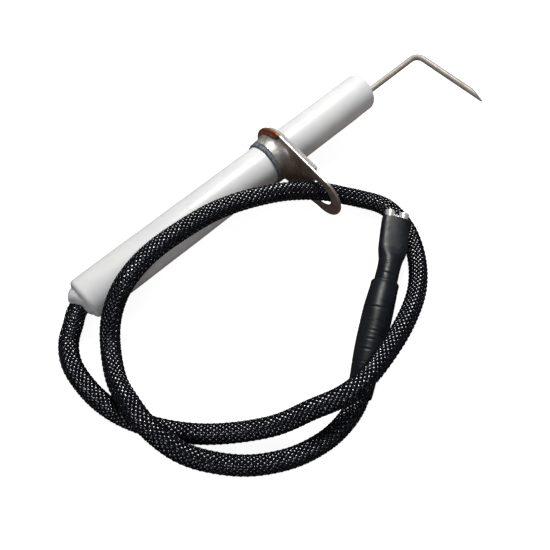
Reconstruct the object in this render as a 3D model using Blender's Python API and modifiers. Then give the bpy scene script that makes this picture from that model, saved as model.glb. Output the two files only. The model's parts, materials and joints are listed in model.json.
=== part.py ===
"""High-voltage ignition electrode: a flanged ceramic insulator with a bent rod and a braided lead.

The electrode lies on a table at z = 0 and its lead is coiled beside it. The lead passes through the
flange's eye and over the insulator, and its terminal lies across the first turn.
Layout coordinates are in metres, +X along the electrode towards its tip, with the flange's front
face at x = 0. The last step centres the whole object's footprint on the world origin.
"""

import math

import bmesh
import bpy
from mathutils import Matrix, Vector

MM = 0.001
GAP = 0.3 * MM                      # clearance between pieces that touch on the real object

# Pose of the electrode: the flange's rim and the insulator's rear end rest on the table
AXIS_HEIGHT = 10.5 * MM
NOSE_UP = math.radians(2.4)

# Insulator, along its own axis, with the flange's front face at 0 and the front positive
INSULATOR_FRONT = 41.7 * MM
INSULATOR_REAR = -83.0 * MM
FRONT_RADIUS = 6.9 * MM
REAR_RADIUS = 7.1 * MM
SHOULDER = -3.5 * MM                # where the two diameters meet, under the collar
FRONT_ROUND = 1.6 * MM
REAR_ROUND = 1.5 * MM
BORE_RADIUS = 1.45 * MM
BORE_OFFSET = 1.8 * MM              # the bore and the rod in it lie off the axis, towards the tab
FRONT_POCKET_RADIUS = 3.9 * MM
FRONT_POCKET_DEPTH = 3.0 * MM
COUNTERBORE_RADIUS = 5.7 * MM
COUNTERBORE_FLOOR = -46.0 * MM

# Electrode rod
ROD_RADIUS = 1.1 * MM
ROD_TAIL = -52.0 * MM               # inside the splice barrel
ROD_BEND = 70.0 * MM                # corner where the two straight legs would meet
ROD_BEND_RADIUS = 3.5 * MM
ROD_BEND_STEPS = 6
ROD_LEG = 31.2 * MM                 # corner to tip
ROD_TURN = math.radians(86.0)
POINT_LENGTH = 5.0 * MM
POINT_EDGE = 0.3 * MM               # thickness left at the very end

# Mounting flange
PLATE = 1.0 * MM
DISC_RADIUS = 10.4 * MM
TAB_RADIUS = 8.2 * MM
TAB_REACH = 22.3 * MM               # insulator axis to the centre of the tab's round end
EYE_REACH = 21.0 * MM               # insulator axis to the eye's centre
EYE_RADIUS = 5.2 * MM
COLLAR_BORE = REAR_RADIUS + GAP
COLLAR_RADIUS = 8.1 * MM
COLLAR_REAR = -5.9 * MM
COLLAR_ROOT = -0.35 * MM             # how far the collar reaches into the plate
FLARE_START = -4.6 * MM
FLARE_RADIUS = 10.0 * MM            # where the flare meets the plate
FLARE_STEPS = 5
GASKET = 1.2 * MM
GASKET_INSET = 0.5 * MM
GASKET_CUT = 16.5 * MM              # the gasket stops square, short of the eye

# Cements and splice
THIN_GAP = 0.12 * MM                # clearance round poured cement
COLLAR_CEMENT = 1.4 * MM
BEAD_HEIGHT = 0.4 * MM
PLUG_FLOOR = -64.0 * MM
PLUG_DOME = 2.3 * MM
PLUG_STATIONS = 13                  # stations of the lead's path that lie in or near the plug
SPLICE_FRONT = -47.0 * MM
SPLICE_REAR = -55.0 * MM
SPLICE_RADIUS = 2.1 * MM

# Lead
LEAD_RADIUS = 3.15 * MM
BRAID_WALL = 0.4 * MM
INSULATION_RADIUS = 2.45 * MM
INSULATION_WALL = 1.45 * MM
CONDUCTOR_RADIUS = 0.7 * MM
LEAD_STEPS = 2                      # stations for each stretch between two waypoints
HINGE_GAP = 0.3 * MM                # half of the slit between two lead pieces at a hinge

# Lie of the lead, in millimetres: its centre line above the table
LEAD_INSIDE = (-53.0, -62.0, -72.0)  # x of its stations in the insulator
LEAD_CENTRED = -72.0                # from here to the splice the lead shifts across to the rod
INSULATION_START = -56.0
BRAID_START = -62.3
LEAD_WAYPOINTS = (
    (-84.0, -0.5, 6.8), (-89.5, -3.5, 5.0), (-94.0, -7.0, 3.6),             # out of the cement
    (-97.0, -12.5, 3.2), (-98.0, -19.5, 3.2), (-97.5, -28.0, 3.2),          # first turn
    (-95.0, -36.5, 3.2), (-90.0, -45.5, 3.2), (-82.5, -54.5, 3.2),
    (-73.5, -62.0, 3.4), (-64.0, -68.5, 6.4), (-55.0, -72.5, 11.2),         # over the shrink tube
    (-47.0, -76.0, 14.8), (-38.5, -77.0, 16.2), (-27.5, -75.5, 15.2),
    (-15.5, -72.5, 12.4), (-2.0, -67.0, 7.8), (9.0, -58.5, 4.0),            # under the terminal
    (15.5, -48.0, 3.2), (16.5, -37.5, 3.2), (12.0, -30.5, 4.4),
    (7.0, -26.0, 6.6), (0.5, -21.0, 9.8), (-10.5, -16.0, 15.0),             # through the eye
    (-23.0, -12.0, 19.0), (-36.0, -8.0, 19.6), (-51.5, -6.5, 19.6),         # over the insulator
    (-63.0, -6.5, 18.4), (-73.0, -8.5, 15.6), (-80.5, -12.0, 10.0),         # down beside it
    (-86.0, -18.0, 5.6), (-90.5, -27.5, 7.0), (-92.0, -36.0, 10.4),
    (-92.5, -43.5, 11.2), (-91.5, -51.0, 10.0), (-89.0, -57.5, 6.8),        # over the first turn
    (-84.0, -64.5, 4.4), (-77.0, -71.5, 3.2), (-67.5, -77.5, 3.2),          # outer turn
    (-58.0, -80.5, 3.4), (-49.5, -81.0, 4.0), (-41.0, -79.0, 4.8),          # into the shrink tube
)
# Hinges of the lead, each at one of the waypoints above
SWING_AT = (-67.5, -77.5, 3.2)
TAIL_AT = (-49.5, -81.0, 4.0)
LIFT_AT = (-41.0, -79.0, 4.8)

# Terminal group, along its own axis from the lift hinge
TERMINAL_YAW = math.radians(32.6)
TERMINAL_RISE = math.radians(4.2)
BRAID_END = 30.0 * MM
INSULATION_END = 37.0 * MM
CONDUCTOR_END = 45.0 * MM
# Reach and radius of the lower tube
LOWER_TUBE = (
    (1.0, 3.95), (7.0, 4.15), (13.0, 4.5), (20.0, 4.75), (28.0, 4.85), (34.0, 4.6), (39.0, 4.4),
)
TUBE_WALL = 0.5 * MM
UPPER_TUBE_START = 33.0 * MM
UPPER_TUBE_NECK = 47.0 * MM
UPPER_TUBE_SHOULDER = 51.5 * MM
UPPER_TUBE_END = 63.5 * MM
UPPER_TUBE_RADIUS = 3.75 * MM
MOUTH_HALF_WIDTH = 4.7 * MM
MOUTH_HALF_HEIGHT = 2.6 * MM
MOUTH_SQUARENESS = 3.6              # superellipse exponent of the flattened section
SHEET = 0.4 * MM                    # terminal sheet thickness
SHEET_BASE = -1.45 * MM
ROLL_STEPS = 9
# Along the terminal: reach, half width, radius of the rolled edges and the angle they end at
TERMINAL_STATIONS = (
    (65.3, 3.85, 1.50, 195.0), (64.0, 3.70, 1.45, 200.0), (51.0, 3.70, 1.45, 200.0),     # receptacle
    (49.5, 3.2, 1.30, 110.0), (48.0, 2.4, 1.1, 20.0), (46.5, 1.7, 1.1, 15.0),            # neck
    (45.0, 1.45, 1.30, 60.0), (44.0, 1.40, 1.30, 76.0), (39.0, 1.40, 1.30, 76.0),        # barrel
)

TURN_STEPS = 40
TUBE_STEPS = 28
SMALL_STEPS = 24
HOLE_POINTS = 24


def new_material(name, colour, roughness, metallic=0.0):
    """A Principled BSDF with the part's colour, roughness and metallic value."""
    material = bpy.data.materials.new(name)
    material.use_nodes = True
    shader = material.node_tree.nodes["Principled BSDF"]
    shader.inputs["Base Color"].default_value = (*colour, 1.0)
    shader.inputs["Roughness"].default_value = roughness
    shader.inputs["Metallic"].default_value = metallic
    return material


def add_object(name, data, material, parent, collection):
    """Link a new object under its parent, with its own material."""
    obj = bpy.data.objects.new(name, data)
    obj.parent = parent
    if material:
        data.materials.append(material)
    collection.objects.link(obj)
    return obj


def add_empty(name, location, parent, collection):
    """An empty that places, and where it is a hinge turns, the pieces under it."""
    empty = bpy.data.objects.new(name, None)
    empty.empty_display_size = 5.0 * MM
    empty.location = location
    empty.parent = parent
    collection.objects.link(empty)
    return empty


def turned(name, profile, material, parent, collection, steps=TURN_STEPS, closed=True):
    """A surface of revolution about Z from a profile of (radius, height), outer side downwards.

    A closed profile makes a ring. An open one that starts and ends on the axis makes a solid.
    """
    mesh = bpy.data.meshes.new(name)
    points = [(radius, 0.0, height) for radius, height in profile]
    edges = [(i, i + 1) for i in range(len(points) - 1)]
    if closed:
        edges.append((len(points) - 1, 0))
    mesh.from_pydata(points, edges, [])
    obj = add_object(name, mesh, material, parent, collection)
    screw = obj.modifiers.new("Turn", "SCREW")
    screw.steps = steps
    screw.render_steps = steps
    screw.use_merge_vertices = True
    screw.merge_threshold = 0.01 * MM
    return obj


def arc(centre, radius, start, end, steps):
    """Points of a circular arc in a plane, with both ends, angles in degrees."""
    angles = [math.radians(start + (end - start) * i / steps) for i in range(steps + 1)]
    return [(centre[0] + radius * math.cos(a), centre[1] + radius * math.sin(a)) for a in angles]


def solidify(obj, thickness, offset=-1.0):
    """Give an open surface its wall."""
    shell = obj.modifiers.new("Wall", "SOLIDIFY")
    shell.thickness = thickness
    shell.offset = offset
    return shell


def wire(name, points, radius, material, parent, collection, sides=2):
    """A solid wire along points: a poly curve with filled caps."""
    curve = bpy.data.curves.new(name, "CURVE")
    curve.dimensions = "3D"
    curve.bevel_depth = radius
    curve.bevel_resolution = sides
    curve.use_fill_caps = True
    spline = curve.splines.new("POLY")
    spline.points.add(len(points) - 1)
    for point, place in zip(spline.points, points):
        point.co = (*place, 1.0)
    return add_object(name, curve, material, parent, collection)


def hose(name, points, radius, wall, material, parent, collection):
    """A hollow tube along points: an open poly curve tube with a wall inside it."""
    obj = wire(name, points, radius, material, parent, collection)
    obj.data.use_fill_caps = False
    solidify(obj, wall)
    return obj


def as_mesh(obj, collection):
    """Replace a curve object with a welded mesh object that modifiers and cutters can use."""
    bpy.context.view_layer.update()
    graph = bpy.context.evaluated_depsgraph_get()
    mesh = bpy.data.meshes.new_from_object(obj.evaluated_get(graph))
    body = bmesh.new()
    body.from_mesh(mesh)
    bmesh.ops.remove_doubles(body, verts=body.verts, dist=0.001 * MM)
    bmesh.ops.recalc_face_normals(body, faces=body.faces)
    body.to_mesh(mesh)
    body.free()
    name = obj.name
    old_data = obj.data
    parent = obj.parent
    place = obj.matrix_basis.copy()
    bpy.data.objects.remove(obj)
    bpy.data.curves.remove(old_data)
    solid = bpy.data.objects.new(name, mesh)
    solid.parent = parent
    solid.matrix_basis = place
    collection.objects.link(solid)
    return solid


def block(name, side, parent, collection):
    """A cube centred on its origin."""
    body = bmesh.new()
    bmesh.ops.create_cube(body, size=side)
    mesh = bpy.data.meshes.new(name)
    body.to_mesh(mesh)
    body.free()
    return add_object(name, mesh, None, parent, collection)


def boolean(target, tool, operation):
    """Cut the target with a tool, or join the tool to it."""
    modifier = target.modifiers.new(operation.title(), "BOOLEAN")
    modifier.operation = operation
    modifier.solver = "EXACT"
    modifier.object = tool
    tool.hide_render = True
    tool.display_type = "WIRE"


def catmull_rom(points, steps):
    """A smooth path through points, with the given number of stations for each stretch."""
    ends = [points[0] * 2 - points[1]] + points + [points[-1] * 2 - points[-2]]
    path = []
    for a, b, c, d in zip(ends, ends[1:], ends[2:], ends[3:]):
        for i in range(steps):
            t = i / steps
            path.append(0.5 * (b * 2 + (c - a) * t + (a * 2 - b * 5 + c * 4 - d) * t * t
                               + (b * 3 - a - c * 3 + d) * t ** 3))
    path.append(points[-1])
    return path


def inside_point(x):
    """The lead's centre in the insulator at a layout x in millimetres: it moves over to meet the rod."""
    share = max(0.0, (x - LEAD_CENTRED) / (LEAD_INSIDE[0] - LEAD_CENTRED))
    return Vector((x * MM, -BORE_OFFSET * share, AXIS_HEIGHT + x * MM * math.tan(NOSE_UP)))


def lead_path():
    """The lead's centre line, from the splice barrel to the end of its wire in the terminal."""
    inside = [inside_point(x) for x in LEAD_INSIDE]
    outside = [Vector(point) * MM for point in LEAD_WAYPOINTS]
    direction = Vector((math.cos(TERMINAL_YAW), math.sin(TERMINAL_YAW), math.tan(TERMINAL_RISE)))
    direction.normalize()
    in_tube = [outside[-1] + direction * reach for reach in (BRAID_END / 3, BRAID_END)]
    return catmull_rom(inside + outside + in_tube, LEAD_STEPS)


def nearest_station(path, place):
    """Index of the path's station at a place given in millimetres."""
    target = Vector(place) * MM
    return min(range(len(path)), key=lambda i: (path[i] - target).length)


def stretch(path, start, end):
    """The part of the path between two stations, drawn back by the hinge gap at both ends."""
    points = [point.copy() for point in path[start:end + 1]]
    points[0] += (points[1] - points[0]).normalized() * HINGE_GAP
    points[-1] += (points[-2] - points[-1]).normalized() * HINGE_GAP
    return points


def bore_tool(name, radius, axis, cutters):
    """A round bar in the line of the rod, as long as the insulator, that cuts what the rod goes through."""
    profile = [(0.0, INSULATOR_FRONT + BEAD_HEIGHT * 2), (radius, INSULATOR_FRONT + BEAD_HEIGHT * 2),
               (radius, COUNTERBORE_FLOOR - GAP), (0.0, COUNTERBORE_FLOOR - GAP)]
    tool = turned(name, profile, None, axis, cutters, SMALL_STEPS, closed=False)
    tool.location.y = -BORE_OFFSET
    return tool


def build_insulator(axis, parts, cutters):
    """Glazed alumina tube with a fine front bore and a wide rear counterbore."""
    front_edge = arc((FRONT_RADIUS - FRONT_ROUND, INSULATOR_FRONT - FRONT_ROUND), FRONT_ROUND, 90, 0, 4)
    rear_edge = arc((REAR_RADIUS - REAR_ROUND, INSULATOR_REAR + REAR_ROUND), REAR_ROUND, 0, -90, 4)
    pocket_floor = INSULATOR_FRONT - FRONT_POCKET_DEPTH
    pocket = [(0.0, pocket_floor), (FRONT_POCKET_RADIUS, pocket_floor), (FRONT_POCKET_RADIUS, INSULATOR_FRONT)]
    side = [(FRONT_RADIUS, SHOULDER), (REAR_RADIUS, SHOULDER - GAP)]
    counterbore = [
        (COUNTERBORE_RADIUS, INSULATOR_REAR),
        (COUNTERBORE_RADIUS, COUNTERBORE_FLOOR),
        (0.0, COUNTERBORE_FLOOR),
    ]
    outline = pocket + front_edge + side + rear_edge + counterbore
    glaze = new_material("white_glazed_alumina", (0.85, 0.85, 0.84), 0.18)
    body = turned("insulator", outline, glaze, axis, parts, closed=False)
    boolean(body, bore_tool("rod_bore", BORE_RADIUS, axis, cutters), "DIFFERENCE")


def build_rod(axis, parts, cutters):
    """Round rod, bent once beyond the insulator and ground to a point on one side."""
    setback = ROD_BEND_RADIUS * math.tan(ROD_TURN / 2)
    points = [Vector((0.0, -BORE_OFFSET, ROD_TAIL)), Vector((0.0, -BORE_OFFSET, ROD_BEND - setback))]
    centre = points[-1] - Vector((0.0, ROD_BEND_RADIUS, 0.0))
    for i in range(1, ROD_BEND_STEPS + 1):
        angle = ROD_TURN * i / ROD_BEND_STEPS
        points.append(centre + Vector((0.0, math.cos(angle), math.sin(angle))) * ROD_BEND_RADIUS)
    leg = Vector((0.0, -math.sin(ROD_TURN), math.cos(ROD_TURN)))
    tip = Vector((0.0, -BORE_OFFSET, ROD_BEND)) + leg * ROD_LEG
    points.append(tip)
    rod = as_mesh(wire("electrode_rod", points, ROD_RADIUS, None, axis, parts), parts)
    rod.data.materials.append(new_material("heat_resistant_wire", (0.36, 0.33, 0.27), 0.4, 1.0))
    # One flat is ground across the end, from full thickness down to a thin edge
    slope = math.atan2(2.0 * ROD_RADIUS - POINT_EDGE, POINT_LENGTH)
    outward = Vector((0.0, -leg.z, leg.y))
    normal = Matrix.Rotation(-slope, 3, "X") @ outward
    side = POINT_LENGTH * 3
    grinder = block("point_grinder", side, axis, cutters)
    grinder.rotation_euler = normal.to_track_quat("Z", "X").to_euler()
    grinder.location = tip - leg * POINT_LENGTH + outward * ROD_RADIUS + normal * side / 2
    boolean(rod, grinder, "DIFFERENCE")


def flange_outline(inset, cut=None):
    """Outline of the flange plate, or of a piece cut square across its tab."""
    disc, tip = DISC_RADIUS - inset, TAB_RADIUS - inset
    lean = math.degrees(math.asin((disc - tip) / TAB_REACH))
    outline = arc((0.0, 0.0), disc, -lean, 180.0 + lean, 22)
    if cut is None:
        return outline + arc((0.0, -TAB_REACH), tip, 180.0 + lean, 360.0 - lean, 16)
    half = disc / math.cos(math.radians(lean)) - cut * math.tan(math.radians(lean))
    return outline + [(-half, -cut), (half, -cut)]


def hole_outline(radius, reach=0.0):
    """Outline of a round hole at a reach towards the tab."""
    step = 360 / HOLE_POINTS
    return arc((0.0, -reach), radius, 0, 360 - step, HOLE_POINTS - 1)


def flat_piece(name, outlines, thickness, axis, parts):
    """A flat piece with holes: a filled 2D curve, made a mesh, centred on its own mid plane."""
    curve = bpy.data.curves.new(name, "CURVE")
    curve.dimensions = "2D"
    curve.fill_mode = "BOTH"
    curve.extrude = thickness / 2
    for outline in outlines:
        spline = curve.splines.new("POLY")
        spline.points.add(len(outline) - 1)
        spline.use_cyclic_u = True
        for point, place in zip(spline.points, outline):
            point.co = (*place, 0.0, 1.0)
    return as_mesh(add_object(name, curve, None, axis, parts), parts)


def build_flange(axis, parts, cutters):
    """Stamped plate with a drawn collar that flares into it, and an eye in its tab."""
    holes = [hole_outline(COLLAR_BORE + GAP / 2), hole_outline(EYE_RADIUS, EYE_REACH)]
    flange = flat_piece("mounting_flange", [flange_outline(0.0)] + holes, PLATE, axis, parts)
    flange.location.z = -PLATE / 2
    flange.data.materials.append(new_material("stamped_steel", (0.55, 0.53, 0.50), 0.25, 1.0))
    drop = FLARE_START + PLATE / 2
    width = FLARE_RADIUS - COLLAR_RADIUS
    profile = [(COLLAR_BORE, COLLAR_ROOT), (FLARE_RADIUS, COLLAR_ROOT)]
    for i in range(FLARE_STEPS + 1):
        a = math.radians(90.0 * i / FLARE_STEPS)
        profile.append((FLARE_RADIUS - width * math.sin(a), -PLATE / 2 + drop * (1.0 - math.cos(a))))
    profile += [(COLLAR_RADIUS, COLLAR_REAR), (COLLAR_BORE, COLLAR_REAR)]
    collar = turned("drawn_collar", profile, None, axis, cutters)
    boolean(flange, collar, "UNION")


def build_gasket(axis, parts):
    """Fibre gasket on the flange's front face, cut square before the eye."""
    outlines = [flange_outline(GASKET_INSET, GASKET_CUT), hole_outline(FRONT_RADIUS + 2 * GAP)]
    gasket = flat_piece("front_gasket", outlines, GASKET, axis, parts)
    gasket.location.z = GAP + GASKET / 2
    gasket.data.materials.append(new_material("grey_fibre", (0.42, 0.41, 0.40), 0.85))


def build_cements(axis, path, layout, parts, cutters):
    """Cement at the collar's rim, round the rod and over the lead's exit."""
    high, low = COLLAR_REAR - THIN_GAP, COLLAR_REAR - THIN_GAP - COLLAR_CEMENT
    inner, outer = REAR_RADIUS + THIN_GAP, COLLAR_RADIUS - THIN_GAP
    middle = (high + low) / 2
    ring = [(inner, high), (outer, high), (outer, middle), ((inner + outer) / 2, low), (inner, low)]
    grey = new_material("collar_cement_grey", (0.35, 0.36, 0.38), 0.8)
    turned("collar_cement", ring, grey, axis, parts)

    floor = INSULATOR_FRONT - FRONT_POCKET_DEPTH + GAP
    top = INSULATOR_FRONT + BEAD_HEIGHT
    outer = FRONT_POCKET_RADIUS - THIN_GAP
    bead = [(0.0, top), (outer - BEAD_HEIGHT, top), (outer, INSULATOR_FRONT), (outer, floor), (0.0, floor)]
    buff = new_material("front_cement_buff", (0.62, 0.58, 0.50), 0.8)
    filling = turned("front_cement", bead, buff, axis, parts, SMALL_STEPS, closed=False)
    boolean(filling, bore_tool("rod_passage", ROD_RADIUS + THIN_GAP, axis, cutters), "DIFFERENCE")

    radius = COUNTERBORE_RADIUS - THIN_GAP
    dome = INSULATOR_REAR - PLUG_DOME
    plug_outline = [(0.0, PLUG_FLOOR), (radius, PLUG_FLOOR), (radius, INSULATOR_REAR),
                    (radius - PLUG_DOME / 3, dome + PLUG_DOME / 3), (radius - PLUG_DOME, dome), (0.0, dome)]
    white = new_material("rear_cement_white", (0.78, 0.78, 0.76), 0.7)
    plug = turned("rear_cement", plug_outline, white, axis, parts, closed=False)
    exit_wire = wire("lead_exit_hole", path[:PLUG_STATIONS], LEAD_RADIUS + GAP, None, layout, cutters)
    exit_hole = as_mesh(exit_wire, cutters)
    boolean(plug, exit_hole, "DIFFERENCE")


def build_splice(axis, parts):
    """Crimp barrel that joins the rod's tail to the lead's conductor, in the counterbore."""
    inner, outer, edge = ROD_RADIUS + GAP, SPLICE_RADIUS, GAP
    barrel = [(inner, SPLICE_FRONT), (outer - edge, SPLICE_FRONT), (outer, SPLICE_FRONT - edge),
              (outer, SPLICE_REAR + edge), (outer - edge, SPLICE_REAR), (inner, SPLICE_REAR)]
    brass = new_material("tinned_brass", (0.72, 0.68, 0.58), 0.3, 1.0)
    turned("splice_barrel", barrel, brass, axis, parts, SMALL_STEPS).location.y = -BORE_OFFSET


def build_lead(path, pivots, parts):
    """Conductor, insulation and braid, each in one piece between two hinges of the lead."""
    stations = [nearest_station(path, place) for place in (SWING_AT, TAIL_AT, LIFT_AT)]
    starts = [0] + stations
    ends = stations + [len(path) - 1]
    for suffix, start, end, pivot in zip(("main", "mid", "tail", "end"), starts, ends, pivots):
        points = stretch(path, start, end)
        core, hose_line, sleeve = points, points, points
        if suffix == "main":
            # The insulation and the braid are stripped back inside the insulator
            hose_line = [inside_point(INSULATION_START)] + points[2:]
            sleeve = [inside_point(BRAID_START)] + points[3:]
        if suffix == "end":
            along = (points[-1] - points[-2]).normalized()
            core = points[:-1] + [points[-1] + along * (CONDUCTOR_END - BRAID_END)]
            hose_line = points[:-1] + [points[-1] + along * (INSULATION_END - BRAID_END)]
        shift = pivot_place(pivot)
        core, hose_line, sleeve = ([point - shift for point in line] for line in (core, hose_line, sleeve))
        copper = new_material("tinned_copper_" + suffix, (0.75, 0.70, 0.62), 0.35, 1.0)
        silicone = new_material("red_silicone_" + suffix, (0.45, 0.09, 0.05), 0.5)
        yarn = new_material("black_yarn_" + suffix, (0.015, 0.016, 0.02), 0.55)
        wire("conductor_" + suffix, core, CONDUCTOR_RADIUS, copper, pivot, parts, sides=1)
        hose("insulation_" + suffix, hose_line, INSULATION_RADIUS, INSULATION_WALL, silicone, pivot, parts)
        hose("braid_" + suffix, sleeve, LEAD_RADIUS, BRAID_WALL, yarn, pivot, parts)


def pivot_place(pivot):
    """A pivot's place in the layout: the sum of its own and its parents' locations."""
    place = Vector()
    while pivot.name != "layout":
        place += pivot.location
        pivot = pivot.parent
    return place


def build_lower_tube(terminal, parts):
    """Shrink tube over the lead's end, swollen where the folded-back braid lies under it."""
    profile = [(radius * MM, along * MM) for along, radius in reversed(LOWER_TUBE)]
    black = new_material("black_shrink_tube", (0.05, 0.052, 0.057), 0.4)
    tube = turned("lower_shrink_tube", profile, black, terminal, parts, TUBE_STEPS, closed=False)
    tube.rotation_euler.y = math.radians(90.0)
    solidify(tube, TUBE_WALL)


def loft(name, sections, closed, material, parent, parts):
    """An open surface through sections with equal point counts, each given as (x, [(y, z), ...])."""
    body = bmesh.new()
    rows = [[body.verts.new((x, y, z)) for y, z in section] for x, section in sections]
    for lower, upper in zip(rows, rows[1:]):
        count = len(lower)
        for i in range(count if closed else count - 1):
            j = (i + 1) % count
            body.faces.new((lower[i], lower[j], upper[j], upper[i])).smooth = True
    mesh = bpy.data.meshes.new(name)
    body.to_mesh(mesh)
    body.free()
    return add_object(name, mesh, material, parent, parts)


def rounded_section(half_width, half_height, squareness):
    """A superellipse: round at squareness 2, and nearer a rectangle as it grows."""
    section = []
    for i in range(TUBE_STEPS):
        angle = math.tau * i / TUBE_STEPS
        c, s = math.cos(angle), math.sin(angle)
        section.append((math.copysign(abs(c) ** (2 / squareness), c) * half_width,
                        math.copysign(abs(s) ** (2 / squareness), s) * half_height))
    return section


def build_upper_tube(terminal, parts):
    """Shrink tube over the terminal: round at the crimp and flattened over the receptacle."""
    sections = [(UPPER_TUBE_START, rounded_section(UPPER_TUBE_RADIUS, UPPER_TUBE_RADIUS, 2.0))]
    for t in (0.0, 0.25, 0.75, 1.0):
        x = UPPER_TUBE_NECK + (UPPER_TUBE_SHOULDER - UPPER_TUBE_NECK) * t
        width = UPPER_TUBE_RADIUS + (MOUTH_HALF_WIDTH - UPPER_TUBE_RADIUS) * t
        height = UPPER_TUBE_RADIUS + (MOUTH_HALF_HEIGHT - UPPER_TUBE_RADIUS) * t
        sections.append((x, rounded_section(width, height, 2.0 + (MOUTH_SQUARENESS - 2.0) * t)))
    mouth = rounded_section(MOUTH_HALF_WIDTH, MOUTH_HALF_HEIGHT, MOUTH_SQUARENESS)
    sections.append((UPPER_TUBE_END, mouth))
    black = new_material("black_terminal_tube", (0.05, 0.052, 0.057), 0.35)
    tube = loft("upper_shrink_tube", sections, True, black, terminal, parts)
    solidify(tube, TUBE_WALL)


def sheet_section(half_width, roll, sweep):
    """Mid line of the terminal's sheet: a flat base whose two edges roll up and inwards."""
    right = arc((half_width - roll, SHEET_BASE + roll), roll, -90.0, sweep, ROLL_STEPS)
    left = [(-y, z) for y, z in reversed(right)]
    return left + right


def build_terminal(terminal, parts):
    """Female spade receptacle: rolled edges at the mouth, a neck and a barrel crimped on the wire."""
    sections = []
    for x, width, roll, sweep in TERMINAL_STATIONS:
        sections.append((x * MM, sheet_section(width * MM, roll * MM, sweep)))
    tin = new_material("tinned_terminal", (0.80, 0.80, 0.78), 0.2, 1.0)
    receptacle = loft("spade_terminal", sections, False, tin, terminal, parts)
    solidify(receptacle, SHEET, offset=0.0)


def centre_on_origin(layout, parts):
    """Move the whole layout so that its footprint is centred and its lowest point is at z = 0."""
    bpy.context.view_layer.update()
    graph = bpy.context.evaluated_depsgraph_get()
    corners = []
    for obj in parts.objects:
        if obj.type in {"MESH", "CURVE"}:
            mesh = obj.evaluated_get(graph).to_mesh()
            corners += [obj.matrix_world @ vertex.co for vertex in mesh.vertices]
    low = [min(corner[i] for corner in corners) for i in range(3)]
    high = [max(corner[i] for corner in corners) for i in range(3)]
    layout.location = (-(low[0] + high[0]) / 2, -(low[1] + high[1]) / 2, -low[2])


def main():
    for obj in list(bpy.data.objects):
        bpy.data.objects.remove(obj)
    parts = bpy.data.collections.new("ignition_electrode")
    cutters = bpy.data.collections.new("cutters")
    bpy.context.scene.collection.children.link(parts)
    bpy.context.scene.collection.children.link(cutters)

    layout = add_empty("layout", (0.0, 0.0, 0.0), None, parts)
    axis = add_empty("electrode_axis", (0.0, 0.0, AXIS_HEIGHT), layout, parts)
    axis.rotation_euler.y = math.radians(90.0) - NOSE_UP
    swing = add_empty("lead_swing_pivot", Vector(SWING_AT) * MM, layout, parts)
    tail = add_empty("terminal_swing_pivot", (Vector(TAIL_AT) - Vector(SWING_AT)) * MM, swing, parts)
    lift = add_empty("terminal_lift_pivot", (Vector(LIFT_AT) - Vector(TAIL_AT)) * MM, tail, parts)
    terminal = add_empty("terminal_axis", (0.0, 0.0, 0.0), lift, parts)
    terminal.rotation_euler = (0.0, -TERMINAL_RISE, TERMINAL_YAW)

    path = lead_path()
    build_insulator(axis, parts, cutters)
    build_rod(axis, parts, cutters)
    build_flange(axis, parts, cutters)
    build_gasket(axis, parts)
    build_cements(axis, path, layout, parts, cutters)
    build_splice(axis, parts)
    build_lead(path, (layout, swing, tail, lift), parts)
    build_lower_tube(terminal, parts)
    build_upper_tube(terminal, parts)
    build_terminal(terminal, parts)
    centre_on_origin(layout, parts)
    cutters.hide_render = True


main()
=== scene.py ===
"""Looks of an ignition electrode: insulator, bent rod, drawn flange, braided lead and sleeved terminal.

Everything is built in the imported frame, in metres. The electrode's own directions are FRONT along its axis,
TAB towards the flange's eye and CROWN upwards. The lead's centre line is read from the CAD conductor.
"""

import json
import math

import bmesh
import bpy
import numpy as np
from mathutils import Matrix, Vector, noise


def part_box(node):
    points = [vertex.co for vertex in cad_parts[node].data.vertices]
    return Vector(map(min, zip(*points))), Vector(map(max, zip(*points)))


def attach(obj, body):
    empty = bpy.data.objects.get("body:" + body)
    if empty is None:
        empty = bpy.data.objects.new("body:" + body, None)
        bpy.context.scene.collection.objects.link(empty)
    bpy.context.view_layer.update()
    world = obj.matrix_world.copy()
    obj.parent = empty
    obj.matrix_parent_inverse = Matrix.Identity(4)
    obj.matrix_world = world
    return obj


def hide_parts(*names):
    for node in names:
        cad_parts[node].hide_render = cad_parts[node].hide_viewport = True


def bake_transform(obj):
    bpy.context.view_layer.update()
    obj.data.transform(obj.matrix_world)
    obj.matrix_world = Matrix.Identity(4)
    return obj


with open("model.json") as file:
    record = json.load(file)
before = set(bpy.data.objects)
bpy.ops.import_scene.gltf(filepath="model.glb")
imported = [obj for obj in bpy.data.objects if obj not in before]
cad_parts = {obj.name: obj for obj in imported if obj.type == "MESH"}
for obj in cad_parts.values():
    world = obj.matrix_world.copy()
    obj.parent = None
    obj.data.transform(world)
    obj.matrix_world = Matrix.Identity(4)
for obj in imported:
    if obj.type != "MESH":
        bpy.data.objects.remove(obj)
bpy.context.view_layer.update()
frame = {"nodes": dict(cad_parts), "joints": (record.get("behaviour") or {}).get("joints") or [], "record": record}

MM = 0.001
UP = np.array((0.0, 0.0, 1.0))


# ---------------------------------------------------------------- small helpers

def clamp(value):
    """A value kept between 0 and 1."""
    return min(1.0, max(0.0, value))


def unit(vector):
    """A direction of length 1."""
    return np.asarray(vector, float) / np.linalg.norm(vector)


def add_object(name, data):
    """A new object in the scene that shows a mesh, lamp or camera."""
    obj = bpy.data.objects.new(name, data)
    bpy.context.scene.collection.objects.link(obj)
    return obj


# ---------------------------------------------------------------- places read from the frame

def cad_points(node):
    """The distinct vertices of a CAD node."""
    mesh = frame["nodes"][node].data
    points = np.empty(len(mesh.vertices) * 3)
    mesh.vertices.foreach_get("co", points)
    return np.unique(points.reshape(-1, 3).round(7), axis=0)


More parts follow.
